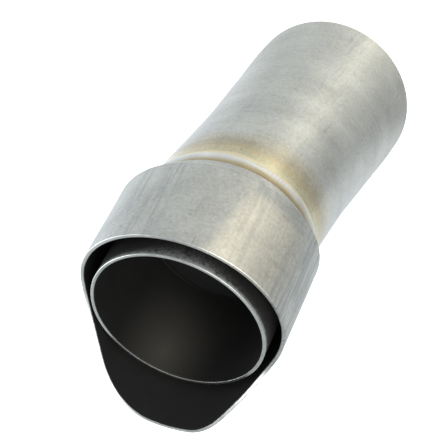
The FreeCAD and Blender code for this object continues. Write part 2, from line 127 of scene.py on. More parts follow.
class BaffleSizes(bpy.types.PropertyGroup):
    """Sizes of the insert's four pieces."""

    tube_radius: length("Tube radius", "Outside of the tube at the kink", 0.0254)
    tube_wall: length("Tube wall", "Sheet of the main tube", 0.0012)
    tube_length: length("Tube length", "Far end to the kink", 0.1003)
    taper_top: length("Top of the taper", "Height where the tube starts to widen", 0.0553)
    taper_foot: length("Foot of the taper", "Height of the parallel part at the far end", 0.0086)
    end_radius: length("End radius", "Outside of the expanded end", 0.0275)
    kink: angle("Kink", "Between the tube and the tip", 17.0)
    pipe_radius: length("Pipe radius", "Outside of the inner pipe", 0.0254)
    pipe_wall: length("Pipe wall", "Sheet of the inner pipe", 0.0010)
    pipe_length: length("Pipe length", "Kink to the pipe's rim", 0.0356)
    sleeve_radius: length("Sleeve radius", "Outside of the barrel", 0.0299)
    sleeve_wall: length("Sleeve wall", "Sheet of the tip sleeve", 0.0012)
    sleeve_offset: length("Sleeve offset", "Sideways offset of the barrel", 0.0006)
    near_middle: angle("Near middle", "Bearing of the near side's middle from the X axis", 252.5)
    shoulder_top: length("Shoulder top", "Kink to the start of the near shoulder", 0.0021)
    shoulder_near: length("Shoulder near side", "How much higher it starts towards -Y", 0.0024)
    shoulder_side: length("Shoulder side", "How much higher it starts towards +X", 0.0015)
    far_top: length("Far shoulder top", "Kink to the start of the far shoulder", 0.0063)
    far_lean: length("Far shoulder lean", "How much higher it starts towards +Y", 0.0019)
    far_side: length("Far shoulder side", "How much higher it starts towards +X", 0.0036)
    shoulder_least: length("Least shoulder", "Least height from the neck to the shoulder", 0.0010)
    neck_radius: length("Neck radius", "Outside of the neck", 0.0266)
    neck_rise: length("Neck rise", "Kink to the near neck's edge", 0.0034)
    neck_side: length("Neck side", "How much higher it is towards +X", 0.0027)
    far_neck_rise: length("Far neck rise", "Kink to the far neck's edge", 0.0012)
    far_neck_side: length("Far neck side", "How much higher it is towards +X", 0.0010)
    mouth_level: length("Mouth level", "Kink to the mouth's sides", 0.0306)
    mouth_tilt: angle("Mouth tilt", "Rise of the mouth away from the lip", 4.9)
    lip_top: length("Lip top", "Kink to the end of the lip", 0.0495)
    lip_fall: angle("Lip fall", "Slope of the end of the lip", 2.4)
    steep_foot: length("Steep foot", "Axis to the foot of the steep flank", 0.0247)
    steep_slope: angle("Steep slope", "Rise of the steep flank", 55.5)
    steep_round: length("Steep round", "Round between the steep flank and the lip", 0.0093)
    foot_round: length("Foot round", "Round at the foot of the steep flank", 0.0069)
    long_foot: length("Long foot", "Axis to the foot of the long flank", 0.0300)
    long_slope: angle("Long slope", "Rise of the long flank", 54.1)
    long_round: length("Long round", "Round between the long flank and the lip", 0.0228)
    long_toe: length("Long toe", "Round at the foot of the long flank", 0.0012)
    bead_crest: length("Bead crest", "Crest of the bead below the mitre plane", 0.0003)
    crest_side: length("Crest side", "How much lower the crest is on the -X side", 0.0034)
    crest_far: length("Crest far side", "How much lower the crest is on the far side", 0.0012)
    bead_toe: length("Bead toe", "Thin end of the bead below the mitre plane", 0.0053)
    toe_side: length("Toe side", "How much lower the toe is on the -X side", 0.0028)
    toe_far: length("Toe far side", "How much lower the toe is on the far side", 0.0009)
    bead_start: length("Bead start", "Bead over the tube at the neck's edge", 0.00085)
    bead_height: length("Bead height", "Crest of the bead over the tube", 0.00130)
    band_least: length("Least band", "Least width from the neck's edge to the crest", 0.0016)
    fillet_least: length("Least fillet", "Least width from the crest to the toe", 0.0030)
    bead_tuck: length("Bead tuck", "How far the bead goes on under the neck", 0.0003)
    mouth_softness: share("Mouth softness", "Width of the mouth's soft bell, of a turn", 0.004)
    rim_round: length("Rim round", "Broken edge of each rim", 0.0003)


class BaffleFinish(bpy.types.PropertyGroup):
    """Colours and finish of the bare sheet."""

    tube_colour: colour("Tube", "Satin sheet of the tube", (0.605, 0.625, 0.60))
    sleeve_colour: colour("Sleeve", "Satin sheet of the tip sleeve", (0.585, 0.60, 0.575))
    weld_colour: colour("Weld", "Bright weld metal", (0.84, 0.85, 0.84))
    straw_colour: colour("Straw", "Heat tint at the toe of the weld", (0.70, 0.60, 0.40))
    # Painted shade inside the tubes: near-black, mottled with a paler painted shade
    bore_shade_colour: colour("Bore", "Sooty inside of the tubes", (0.004, 0.004, 0.0035))
    bore_pale_shade: colour("Pale bore", "Thinner soot inside of the tubes", (0.011, 0.0108, 0.0098))
    # The patch's lightening is partly a burnish mark and partly painted highlight
    patch_tint: colour("Patch tint", "Lightening of the burnished patch", (1.30, 1.24, 1.15))
    tint_reach: length("Tint reach", "How far the heat tint goes from the bead", 0.0150)
    tube_roughness: share("Tube roughness", "Satin of the tube", 0.30)
    sleeve_roughness: share("Sleeve roughness", "Satin of the sleeve", 0.42)
    floor_light: FloatProperty(
        name="Floor light", description="Light of the sweep", default=1.40, min=0.0,
    )
    card_shade: share("Card shade", "Light left at the dark card to one side", 0.72)
    light_bearing: angle("Light bearing", "Bright middle of the sweep from the X axis", 237.6)


def sizes():
    """The scene's sizes."""
    return bpy.context.scene.baffle_sizes


def finish():
    """The scene's colours and finish."""
    return bpy.context.scene.baffle_finish


# Frames of the pieces

def tip_frame(points):
    """Carry points from the tip's own frame to the model: at the kink, leant towards +Y."""
    s = sizes()
    x, y, z = points[..., 0], points[..., 1], points[..., 2]
    sine, cosine = math.sin(s.kink), math.cos(s.kink)
    return np.stack([x, y * cosine + z * sine, s.tube_length - y * sine + z * cosine], axis=-1)


def joined(x, y, z):
    """Points from three arrays of coordinates, each spread to the shape of the others."""
    return np.stack(np.broadcast_arrays(x, y, z), axis=-1)


def about_axis(radius, turn, height, offset=0.0):
    """Points at a radius and a bearing, round an axis that may stand to one side."""
    return joined(offset + radius * np.cos(turn), radius * np.sin(turn), height)


def ramp(start, stop, count):
    """Evenly spaced steps from start to stop, without the last one."""
    return np.linspace(start, stop, count, endpoint=False)


def round_angles(count):
    """Angles round a ring, one to a column."""
    return ramp(0.0, 2.0 * math.pi, count)


def waves(turn, along, size, seed):
    """Slight unevenness of hand-fed sheet: six sines round and along, with seeded phases."""
    random = np.random.default_rng(seed)
    total = 0.0
    for order in range(1, 7):
        phase, skew = random.uniform(0.0, 2.0 * math.pi, 2)
        pitch = random.uniform(0.02, 0.06)
        wave_along = np.sin(2.0 * math.pi * along / pitch + skew)
        total = total + np.sin(order * turn + phase) * wave_along / order
    return total * size


# Meshes

def closed_skin(name, points, inside):
    """A piece whose surface closes on itself both ways.

    Row i and column j of the grid of points are joined to row i + 1 and column j + 1, and the last
    row and column to the first. The share of inside is kept as an attribute for the material.
    """
    rows, columns = points.shape[:2]
    row = np.arange(rows)[:, None]
    column = np.arange(columns)[None, :]
    next_row = (row + 1) % rows
    next_column = (column + 1) % columns
    corners = [
        row * columns + column,
        row * columns + next_column,
        next_row * columns + next_column,
        next_row * columns + column,
    ]
    quads = np.stack(corners, axis=-1).reshape(-1, 4)
    flat = points.reshape(-1, 3)
    a, b, c, d = (flat[quads[:, k]] for k in range(4))
    volume = sum(
        np.einsum("ij,ij->i", first, np.cross(second, third)).sum()
        for first, second, third in ((a, b, c), (a, c, d))
    )
    # The faces look inwards where the volume comes out negative
    if volume < 0.0:
        quads = quads[:, ::-1]
    mesh = bpy.data.meshes.new(name)
    mesh.vertices.add(len(flat))
    mesh.vertices.foreach_set("co", flat.astype(np.float32).ravel())
    mesh.loops.add(quads.size)
    mesh.loops.foreach_set("vertex_index", quads.astype(np.int32).ravel())
    mesh.polygons.add(len(quads))
    mesh.polygons.foreach_set("loop_start", np.arange(0, quads.size, 4, dtype=np.int32))
    mesh.polygons.foreach_set("use_smooth", np.ones(len(quads), dtype=bool))
    mesh.update(calc_edges=True)
    column_of = quads % columns
    row_of = quads // columns
    last_columns = column_of.max(axis=1, keepdims=True) == columns - 1
    last_rows = row_of.max(axis=1, keepdims=True) == rows - 1
    far_column = np.where((column_of == 0) & last_columns, columns, column_of)
    far_row = np.where((row_of == 0) & last_rows, rows, row_of)
    layer = mesh.uv_layers.new(name="sheet")
    uv = np.stack([far_column / columns, far_row / rows], axis=-1)
    layer.data.foreach_set("uv", uv.astype(np.float32).ravel())
    attribute = mesh.attributes.new("inside", "FLOAT", "POINT")
    shares = np.broadcast_to(inside, (rows, columns)).astype(np.float32)
    attribute.data.foreach_set("value", shares.ravel())
    mesh.validate()
    piece = bpy.data.objects.new(name, mesh)
    bpy.context.scene.collection.objects.link(piece)
    return piece


def place_piece(piece, node, material):
    """Let a piece stand for its node, ride the body and take its finish."""
    piece.data.materials.append(material)
    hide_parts(node)
    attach(piece, "root")


def rim_profile(count, wall, edge):
    """Across a cut edge from the outside of a sheet to its inside: depth into the sheet, and drop.

    The drop is the broken edge's, a steep power of the distance from the middle of the sheet.
    """
    across = np.linspace(0.0, 1.0, count)
    depth = wall * 0.5 * (1.0 - np.cos(math.pi * across))
    off_middle = np.abs(2.0 * depth / wall - 1.0)
    drop = edge * (1.0 - np.sqrt(np.clip(1.0 - off_middle ** 6, 0.0, 1.0)))
    return depth, drop


def rim_shade(rows, start):
    """Share of painted shade across a cut edge: none up to a row, then rising over the next four.
    """
    return np.clip((np.arange(rows) - start) / 4.0, 0.0, 1.0)


# The main tube

def tube_outside(height):
    """Outside radius at a height: parallel at the kink, widening evenly to a parallel end.

    Both bends of the wall are rounded, as the soft minimum of straight lines gives.
    """
    s = sizes()
    slope = (s.end_radius - s.tube_radius) / (s.taper_top - s.taper_foot)
    line = s.tube_radius + slope * (s.taper_top - height)
    bend = 0.00012
    lower = 0.5 * (line + s.end_radius - np.sqrt((line - s.end_radius) ** 2 + bend ** 2))
    return 0.5 * (lower + s.tube_radius + np.sqrt((lower - s.tube_radius) ** 2 + bend ** 2))


def tube_points(columns=512):
    """Rows run down the outside, round the far rim, up the inside and across the mitre.

    The mitre plane cuts the top at tube length less y times the tangent of half the kink.
    """
    s = sizes()
    turn = round_angles(columns)[None, :]
    down = np.concatenate([ramp(0.0, 0.5, 40), ramp(0.5, 0.93, 40), ramp(0.93, 1.0, 10)])[:, None]
    depth, drop = rim_profile(FAR_RIM_ROWS, s.tube_wall, s.rim_round)
    half = math.tan(s.kink / 2.0)

    def wall_at(down, depth):
        """The bore opens to the pipe's at the mitre, over the first tenth of the tube."""
        near_mitre = np.clip(1.0 - down * 10.0, 0.0, 1.0)
        depth = depth - np.where(depth > 0.0, (s.tube_wall - s.pipe_wall) * near_mitre, 0.0)
        radius = s.tube_radius - depth
        top = s.tube_length - radius * np.sin(turn) * half
        height = top + (s.rim_round * 2.0 - top) * down
        radius = tube_outside(height) - depth + waves(turn, height, SHEET_WAVES, 3)
        return about_axis(radius, turn, height)

    rim = about_axis(tube_outside(np.zeros(1)) - depth[:, None], turn, drop[:, None])
    outside = wall_at(down, 0.0 * down)
    inside = wall_at(down[::-1], s.tube_wall + 0.0 * down)
    points = np.concatenate([outside, rim, inside])
    # The tube's bore is painted shade, lighter towards the open far end, and it reaches part way
    # across the far rim
    shade_at_end = 0.45
    into_bore = np.clip(shade_at_end + 4.0 * (1.0 - down[::-1, 0]), 0.0, 1.0)
    share_inside = np.concatenate([
        np.zeros(len(outside)), rim_shade(FAR_RIM_ROWS, 8.0) * shade_at_end, into_bore,
    ])[:, None]
    return points, share_inside


# The inner pipe

def pipe_points(columns=480):
    """Rows run up the outside from the mitre, over the square rim and down the bore.

    The outside carries painted shade in the gap under the sleeve, less just behind the rim, and
    least of all at a painted highlight near the rim.
    """
    s = sizes()
    turn = round_angles(columns)[None, :]
    half = math.tan(s.kink / 2.0)
    up = ramp(0.0, 1.0, 60)[:, None]
    depth, drop = rim_profile(RIM_ROWS, s.pipe_wall, s.rim_round)

    def wall_at(up, depth):
        """The wall at a depth into the sheet, from the mitre (0) to just below the rim (1)."""
        radius = s.pipe_radius - depth
        foot = radius * np.sin(turn) * half
        height = foot + (s.pipe_length - 2.0 * s.rim_round - foot) * up
        return about_axis(radius, turn, height)

    rim = about_axis(s.pipe_radius - depth[:, None], turn, s.pipe_length - drop[:, None])
    outside = wall_at(up, 0.0)
    inside = wall_at(up[::-1], s.pipe_wall)
    points = np.concatenate([outside, rim, inside])
    # Painted shade on the pipe's outside in the gap under the sleeve: a little lighter just behind
    # the rim, and lighter still at a painted highlight near the rim on the near side
    behind = (1.0 - up) * s.pipe_length
    lit_middle, lit_width, lit_reach = math.radians(258.0), 0.40, 0.0013
    lit_place = np.exp(-behind / lit_reach - ((turn - lit_middle) / lit_width) ** 2)
    rim_light_reach, full_shade = 0.0005, 0.995
    gap_shade = full_shade - 0.12 * np.exp(-behind / rim_light_reach) - 0.40 * lit_place
    across_rim = rim_shade(RIM_ROWS, 10.5)
    # The outer edge of the pipe's rim takes part of the gap's painted shade
    across_rim[:3] = 0.45, 0.3, 0.15
    share_inside = np.concatenate([
        gap_shade,
        np.broadcast_to(across_rim[:, None], (RIM_ROWS, columns)),
        np.ones((len(inside), columns)),
    ])
    return tip_frame(points), share_inside


# The tip sleeve

def lip_outline():
    """The lip seen face on, as heights over sideways places.

    It is five straight runs, and each corner is replaced by an arc that touches both its runs.
    """
    s = sizes()
    fall, steep, gentle = (math.tan(a) for a in (s.lip_fall, s.steep_slope, s.long_slope))
    steep_top = (s.lip_top - s.mouth_level - steep * s.steep_foot) / (steep + fall)
    long_top = (s.mouth_level + gentle * s.long_foot - s.lip_top) / (gentle - fall)
    beyond = 2.0 * s.sleeve_radius
    corners = np.array([
        (-beyond, s.mouth_level),
        (-s.steep_foot, s.mouth_level),
        (steep_top, s.lip_top - fall * steep_top),
        (long_top, s.lip_top - fall * long_top),
        (s.long_foot, s.mouth_level),
        (beyond, s.mouth_level),
    ])
    rounds = (s.foot_round, s.steep_round, s.long_round, s.long_toe)
    outline = [corners[:1]]
    for before, corner, after, radius in zip(corners, corners[1:], corners[2:], rounds):
        back = (before - corner) / np.linalg.norm(before - corner)
        on = (after - corner) / np.linalg.norm(after - corner)
        opening = math.acos(float(back @ on))
        setback = radius / math.tan(opening / 2.0)
        centre = corner + (back + on) / np.linalg.norm(back + on) * math.hypot(radius, setback)
        start = corner + back * setback - centre
        sweep = math.pi - opening
        if start[0] * on[1] - start[1] * on[0] < 0.0:
            sweep = -sweep
        turn = np.linspace(0.0, sweep, 25)
        outline.append(centre + np.stack([
            start[0] * np.cos(turn) - start[1] * np.sin(turn),
            start[0] * np.sin(turn) + start[1] * np.cos(turn),
        ], axis=-1))
    outline.append(corners[-1:])
    return np.concatenate(outline)


def mouth_height(outline, across, deep):
    """Height of the cut: a slope over the near half, and the lip's outline over the far half.

    It is softened round the edge by a bell-shaped running mean.
    """
    s = sizes()
    near = s.mouth_level - deep * math.tan(s.mouth_tilt)
    far = np.interp(across, outline[:, 0], outline[:, 1])
    height = np.where(deep < 0.0, near, far)
    columns = height.shape[-1]
    step = (np.arange(columns) + columns // 2) % columns - columns // 2
    bell = np.exp(-0.5 * (step / (columns * s.mouth_softness)) ** 2)
    bell = bell / bell.sum()
    return np.fft.irfft(np.fft.rfft(height, axis=-1) * np.fft.rfft(bell), n=columns, axis=-1)


def far_share(turn):
    """0 round the near side and 1 round the far side.

    It is a smooth step of the cosine of the bearing from the near side's middle.
    """
    towards = np.cos(turn - sizes().near_middle)
    leaves_near, step_width = 0.10, 0.60
    step = np.clip((leaves_near - towards) / step_width, 0.0, 1.0)
    return step * step * (3.0 - 2.0 * step)


def shoulder_start(turn):
    """Height above the kink at which the barrel turns in, in the tip's own frame."""
    s = sizes()
    near = s.shoulder_top - s.shoulder_near * np.sin(turn) + s.shoulder_side * np.cos(turn)
    far = s.far_top + s.far_lean * np.sin(turn) + s.far_side * np.cos(turn)
    return near + (far - near) * far_share(turn)


def neck_mitre(turn):
    """Height of the mitre plane at the neck's radius, in the tip's own frame."""
    s = sizes()
    return s.neck_radius * np.sin(turn) * math.tan(s.kink / 2.0)


def neck_edge(turn):
    """Height of the neck's edge in the tip's own frame, always below the shoulder's start."""
    s = sizes()
    near = s.neck_rise + s.neck_side * np.cos(turn)
    far = s.far_neck_rise + s.far_neck_side * np.cos(turn)
    edge = near + (far - near) * far_share(turn) + neck_mitre(turn)
    return np.minimum(edge, shoulder_start(turn) - s.shoulder_least)


def shoulder_ring(turn, fallen, depth):
    """A ring of the shoulder, from the barrel (0) to the neck's edge (a quarter turn).

    The radius falls with a power of the cosine and the height with a steeper power of the sine, so
    the barrel turns in sharply and the neck runs out in a hollow. Each end has its own slant. The
    inside lies nearly the sheet's depth in, and a part of it up, which fades towards the neck.
    """
    s = sizes()
    turned_in, dropped = np.cos(fallen) ** 1.2, np.sin(fallen) ** 2.45
    radius = s.neck_radius + (s.sleeve_radius - s.neck_radius) * turned_in - depth * 0.97
    first, last = shoulder_start(turn), neck_edge(turn)
    height = first + (last - first) * dropped + depth * 0.6 * (1.0 - dropped)
    return about_axis(radius, turn, height, s.sleeve_offset * turned_in)


def sleeve_points(columns=448):
    """Rows run up the shoulder and the barrel, over the mouth's edge and down the inside."""
    s = sizes()
    turn = round_angles(columns)[None, :]
    outline = lip_outline()
    fallen = ramp(math.pi / 2.0, 0.0, 34)[:, None]
    rise = ramp(0.0, 1.0, 60)[:, None]
    depth, drop = rim_profile(RIM_ROWS, s.sleeve_wall, s.rim_round)

    def rim_at(depth):
        """The mouth's cut at a depth into the sheet."""
        radius = s.sleeve_radius - depth
        across, deep = s.sleeve_radius * np.cos(turn), s.sleeve_radius * np.sin(turn)
        edge = mouth_height(outline, across, deep)
        return s.sleeve_offset + radius * np.cos(turn), radius * np.sin(turn), edge

    def barrel(rise, depth):
        """The barrel at a depth into the sheet, from the shoulder (0) to below the mouth (1)."""
        foot = shoulder_ring(turn, np.zeros((1, 1)), depth)
        x, y, top = rim_at(depth)
        height = foot[..., 2] + (top - 2.0 * s.rim_round - foot[..., 2]) * rise
        swell = waves(turn, height, SHEET_WAVES, 11) * np.sin(math.pi * rise)
        blend = np.clip(rise * 6.0, 0.0, 1.0)
        x = foot[..., 0] * (1.0 - blend) + x * blend + swell * np.cos(turn)
        y = foot[..., 1] * (1.0 - blend) + y * blend + swell * np.sin(turn)
        return joined(x, y, height)

    shoulder = shoulder_ring(turn, fallen, 0.0)
    outside = barrel(rise, 0.0)
    x, y, top = rim_at(depth[:, None])
    rim = joined(x, y, top - drop[:, None])
    inside = barrel(rise[::-1], s.sleeve_wall)
    under = shoulder_ring(turn, fallen[::-1], s.sleeve_wall)
    points = np.concatenate([shoulder, outside, rim, inside, under])
    # The sleeve's inside, and the inner half of its mouth's rim, are painted shade
    share_inside = np.concatenate([
        np.zeros(len(shoulder) + len(outside)), rim_shade(RIM_ROWS, 10.5),
        np.ones(len(inside) + len(under)),
    ])[:, None]
    return tip_frame(points), share_inside


# The weld bead

def bent_tube(turn, radius, below):
    """Points round the bent tube: below its mitre on the tube, or above it on the pipe.

    Both meet at the mitre in the same ring, which stands at radius times the sine of the turn
    times the tangent of half the kink.
    """
    s = sizes()
    radius, below, turn = np.broadcast_arrays(radius, below, turn)
    across = radius * np.cos(turn)
    deep = radius * np.sin(turn)
    mitre = deep * math.tan(s.kink / 2.0)
    on_tube = np.stack([across, deep, s.tube_length - mitre - below], axis=-1)
    on_pipe = tip_frame(np.stack([across, deep, mitre - below], axis=-1))
    return np.where(below[..., None] > 0.0, on_tube, on_pipe)


def bead_ring(turn, mean, side, far):
    """Distance below the mitre plane of a ring that leans sideways and away."""
    return mean - side * np.cos(turn) + far * np.sin(turn)


def bead_points(columns=1200, before=22, after=34):
    """A ring from the neck's edge over its crest to a thin toe on the tube.

    Before the crest it is a shallow band that climbs with a smooth step; after it the section falls
    as a power of half a cosine wave, which leaves a hollow at the toe. Edge, crest, toe and height
    wander round the seam, and faint ripples lie one behind the other along it.
    """
    s = sizes()
    turn = round_angles(columns)[None, :]
    random = np.random.default_rng(5)
    drift, swell = np.zeros_like(turn), np.zeros_like(turn)
    for order in (2, 3, 5, 8, 13, 21):
        first, second = random.uniform(0.0, 2.0 * math.pi, 2)
        drift = drift + np.sin(order * turn + first) / order
        swell = swell + np.sin(order * turn + second) / order
    crest_wander, toe_wander, height_wander = 0.00015, 0.0004, 0.00006
    edge = neck_mitre(turn) - neck_edge(turn) - s.bead_tuck
    crest = bead_ring(turn, s.bead_crest, s.crest_side, s.crest_far) + crest_wander * drift
    crest = np.maximum(crest, edge + s.band_least)
    toe = bead_ring(turn, s.bead_toe, s.toe_side, s.toe_far) + toe_wander * swell
    toe = np.maximum(toe, crest + s.fillet_least)
    climb = ramp(0.0, 1.0, before)[:, None]
    fall = np.linspace(0.0, 1.0, after)[:, None]
    below = np.concatenate([edge + (crest - edge) * climb, crest + (toe - crest) * fall])
    height = s.bead_height + height_wander * swell
    smooth_step = (3.0 - 2.0 * climb ** 1.6) * climb ** 3.2
    rising = s.bead_start + (height - s.bead_start) * smooth_step
    falling = height * (0.5 + 0.5 * np.cos(math.pi * fall)) ** 1.7
    over = np.concatenate([rising, falling])
    ripple = np.sin(150.0 * turn + 4.0e5 * np.maximum(below - crest, 0.0) ** 2)
    sunk = 0.00004
    radius = s.tube_radius + over * (1.0 + 0.008 * ripple) - sunk * (over < sunk)
    skin = bent_tube(turn, radius, below)
    under_depth, under_step = 0.0005, 14
    under = bent_tube(turn, s.tube_radius - under_depth, below[::-under_step])
    return np.concatenate([skin, under]), 0.0


# Node helpers

def feed(tree, node, inputs):
    """Give a node its inputs, each of them a value or another node's socket."""
    for name, value in inputs.items():
        if isinstance(value, bpy.types.NodeSocket):
            tree.links.new(value, node.inputs[name])
        else:
            node.inputs[name].default_value = value


def add(tree, kind, inputs=None, **settings):
    """A node with its settings and its inputs."""
    node = tree.nodes.new(kind)
    for name, value in settings.items():
        setattr(node, name, value)
    feed(tree, node, inputs or {})
    return node


def maths(tree, operation, first, second=0.0, third=0.0):
    """The result of one sum."""
    node = add(tree, "ShaderNodeMath", {0: first, 1: second, 2: third}, operation=operation)
    return node.outputs[0]


def vector_maths(tree, operation, first, second=(0.0, 0.0, 0.0)):
    """The result of one sum of vectors, a number for a length or a dot product."""
    node = add(tree, "ShaderNodeVectorMath", {0: first, 1: second}, operation=operation)
    return node.outputs["Value" if operation in ("LENGTH", "DOT_PRODUCT") else "Vector"]


def turned(tree, vector, angles):
    """A vector turned about the axes."""
    inputs = {"Vector": vector, "Rotation": angles}
    return add(tree, "ShaderNodeMapping", inputs, vector_type="POINT").outputs[0]


def blend_colours(tree, factor, first, second, kind="MIX"):
    """Two colours mixed by a factor."""
    node = add(
        tree, "ShaderNodeMix", {0: factor, 6: first, 7: second}, data_type="RGBA", blend_type=kind,
    )
    return node.outputs[2]


def grey(tree, value):
    """A grey with the value in each channel."""
    return add(tree, "ShaderNodeCombineXYZ", {"X": value, "Y": value, "Z": value}).outputs[0]


def spread(tree, value, low, high, to_low=0.0, to_high=1.0):
    """A value moved evenly from one range to another and held inside it."""
    node = add(tree, "ShaderNodeMapRange", {
        "Value": value, "From Min": low, "From Max": high, "To Min": to_low, "To Max": to_high,
    })
    return node.outputs["Result"]


def noise(tree, vector, scale, detail, roughness=0.5):
    """A noise from 0 to 1."""
    node = add(tree, "ShaderNodeTexNoise", {
        "Vector": vector, "Scale": scale, "Detail": detail, "Roughness": roughness,
    })
    return node.outputs["Fac"]


def varied(tree, value, wave, amount):
    """A value moved up and down by a noise, which is taken about its middle."""
    return maths(tree, "MULTIPLY_ADD", maths(tree, "SUBTRACT", wave, 0.5), amount, value)


def rgba(tint):
    """A colour with full alpha."""
    return (*tint, 1.0)


def colour_ramp(tree, place, stops):
    """The colour of a ramp at a place from 0 to 1; its stops are a place and a colour each."""
    node = add(tree, "ShaderNodeValToRGB", {"Fac": place})
    elements = node.color_ramp.elements
    for element, (position, tint) in zip(elements, (stops[0], stops[-1])):
        element.position, element.color = position, rgba(tint)
    for position, tint in stops[1:-1]:
        elements.new(position).color = rgba(tint)
    return node.outputs["Color"]


# Surface effects shared by the materials

def new_group(name, numbers, results):
    """A shader group: a vector and numbers with defaults go in, masks and colours come out."""
    group = bpy.data.node_groups.new(name, "ShaderNodeTree")
    group.interface.new_socket("Vector", in_out="INPUT", socket_type="NodeSocketVector")
    for label, default in numbers.items():
        socket = group.interface.new_socket(label, in_out="INPUT", socket_type="NodeSocketFloat")
        socket.default_value = default
    for label in results:
        kind = "NodeSocketColor" if label == "Color" else "NodeSocketFloat"
        group.interface.new_socket(label, in_out="OUTPUT", socket_type=kind)
    given = group.nodes.new("NodeGroupInput").outputs
    return group, given, group.nodes.new("NodeGroupOutput")


def use_group(tree, name, inputs):
    """The results of a group placed in a material with its own values."""
    return add(tree, "ShaderNodeGroup", inputs, node_tree=bpy.data.node_groups[name]).outputs


def build_brushing():
    """Fine lines of a rotary brush: noise stretched round the tube and squeezed along it."""
    group, given, result = new_group(
        "brushing", {"Round": 40.0, "Along": 1600.0}, ("Fine", "Broad"),
    )
    factors = add(group, "ShaderNodeCombineXYZ", {
        "X": given["Round"], "Y": given["Round"], "Z": given["Along"],
    })
    swirled = turned(group, given["Vector"], (0.22, 0.14, 0.0))
    squeezed = vector_maths(group, "MULTIPLY", swirled, factors.outputs[0])
    feed(group, result, {
        "Fine": noise(group, squeezed, 1.0, 4.0, 0.6),
        "Broad": noise(group, squeezed, 0.12, 3.0),
    })


def build_grain():
    """Pickled, blasted look of satin sheet: clouds, a fine grain and a few dark specks."""
    group, given, result = new_group(
        "sheet_grain", {"Cloud size": 60.0, "Specks": 0.5}, ("Cloud", "Grain", "Speck"),
    )
    vector = given["Vector"]
    cells = add(group, "ShaderNodeTexVoronoi", {"Vector": vector, "Scale": 420.0})
    spot = spread(group, cells.outputs["Distance"], 0.05, 0.22, 1.0, 0.0)
    rare = spread(group, noise(group, vector, 260.0, 0.0), 0.64, 0.72)
    speck = maths(group, "MULTIPLY", spot, rare)
    feed(group, result, {
        "Cloud": noise(group, vector, given["Cloud size"], 3.0, 0.55),
        "Grain": noise(group, vector, 1100.0, 3.0),
        "Speck": maths(group, "MULTIPLY", speck, given["Specks"]),
    })


def build_scratches():
    """Short thin marks along one direction: the peaks of a stretched noise, in patches."""
    group, given, result = new_group("scratches", {"Level": 0.66, "Amount": 0.5}, ("Mark",))
    vector, level = given["Vector"], given["Level"]
    lines, patches = noise(group, vector, 1.0, 1.0), noise(group, vector, 0.13, 1.0)
    thin = spread(group, lines, level, maths(group, "ADD", level, 0.08))
    mark = maths(group, "MULTIPLY", thin, spread(group, patches, 0.46, 0.62))
    feed(group, result, {"Mark": maths(group, "MULTIPLY", mark, given["Amount"])})


def build_patch():
    """A lighter part of the barrel, clear of the shoulder, partly a burnish mark and partly painted
    highlight.

    It goes round one way from a slanting line, and fades out there. The angle round the barrel is
    read from the sideways coordinates, and a noise makes the edges uneven.
    """
    group, given, result = new_group("burnished_and_lit_patch", {}, ("Mask",))
    parts = add(group, "ShaderNodeSeparateXYZ", {0: given["Vector"]}).outputs
    back_x, back_y = (maths(group, "MULTIPLY", parts[axis], -1.0) for axis in "XY")
    bearing = maths(group, "ARCTAN2", back_y, back_x)
    jitter = varied(group, 0.0, noise(group, given["Vector"], 150.0, 3.0), 0.05)
    line = maths(group, "MULTIPLY_ADD", parts["Z"], PATCH_SLANT, PATCH_BEARING)
    from_line = maths(group, "ADD", maths(group, "SUBTRACT", line, bearing), jitter)
    sharp = spread(group, from_line, -0.03, 0.06)
    fading = spread(group, bearing, 0.25, 0.60)
    height = maths(group, "MULTIPLY_ADD", jitter, 0.05, parts["Z"])
    clear = spread(group, height, 0.0060, 0.0084)
    mask = maths(group, "MULTIPLY", maths(group, "MULTIPLY", sharp, fading), clear)
    feed(group, result, {"Mask": mask})


def build_heat_tint():
    """Temper colours beside a weld: bright gold at the toe, then brown straw that fades away."""
    group, given, result = new_group(
        "heat_tint", {"Distance": 0.0, "Reach": 0.010}, ("Color", "Mask"),
    )
    shift = varied(group, 0.0, noise(group, given["Vector"], 90.0, 3.0), 0.7)
    share_out = maths(group, "DIVIDE", given["Distance"], given["Reach"])
    place = maths(group, "MULTIPLY_ADD", shift, share_out, share_out)
    tint = colour_ramp(group, place, (
        (0.00, (1.16, 1.08, 0.80)),
        (0.12, (1.10, 0.98, 0.70)),
        (0.25, (0.98, 0.84, 0.60)),
        (0.42, (0.90, 0.81, 0.66)),
        (0.62, (0.98, 0.92, 0.80)),
        (0.80, (1.00, 0.97, 0.91)),
        (1.00, (1.0, 1.0, 1.0)),
    ))
    feed(group, result, {"Color": tint, "Mask": spread(group, place, 0.0, 1.0, 1.0, 0.0)})


# Materials

def new_material(name):
    """An empty material with its output and a Principled BSDF."""
    material = bpy.data.materials.new(name)
    material.use_nodes = True
    tree = material.node_tree
    tree.nodes.clear()
    output = tree.nodes.new("ShaderNodeOutputMaterial")
    shader = tree.nodes.new("ShaderNodeBsdfPrincipled")
    tree.links.new(shader.outputs[0], output.inputs[0])
    return material, tree, shader


def own_coordinates(tree, lean):
    """Object coordinates measured from the kink, turned so that Z runs along the piece."""
    place = add(tree, "ShaderNodeTexCoord").outputs["Object"]
    from_kink = vector_maths(tree, "SUBTRACT", place, (0.0, 0.0, sizes().tube_length))
    return turned(tree, from_kink, (lean, 0.0, 0.0))


def weld_distance(tree, mean, side, far):
    """Distance below a ring of the bead, which leans sideways and away from the mitre plane."""
    s = sizes()
    place = add(tree, "ShaderNodeTexCoord").outputs["Object"]
    sine, cosine = math.sin(s.kink / 2.0), math.cos(s.kink / 2.0)
    slant = (side / s.tube_radius, -sine - far / s.tube_radius, -cosine)
    along = vector_maths(tree, "DOT_PRODUCT", place, slant)
    return maths(tree, "ADD", along, s.tube_length * cosine - mean)


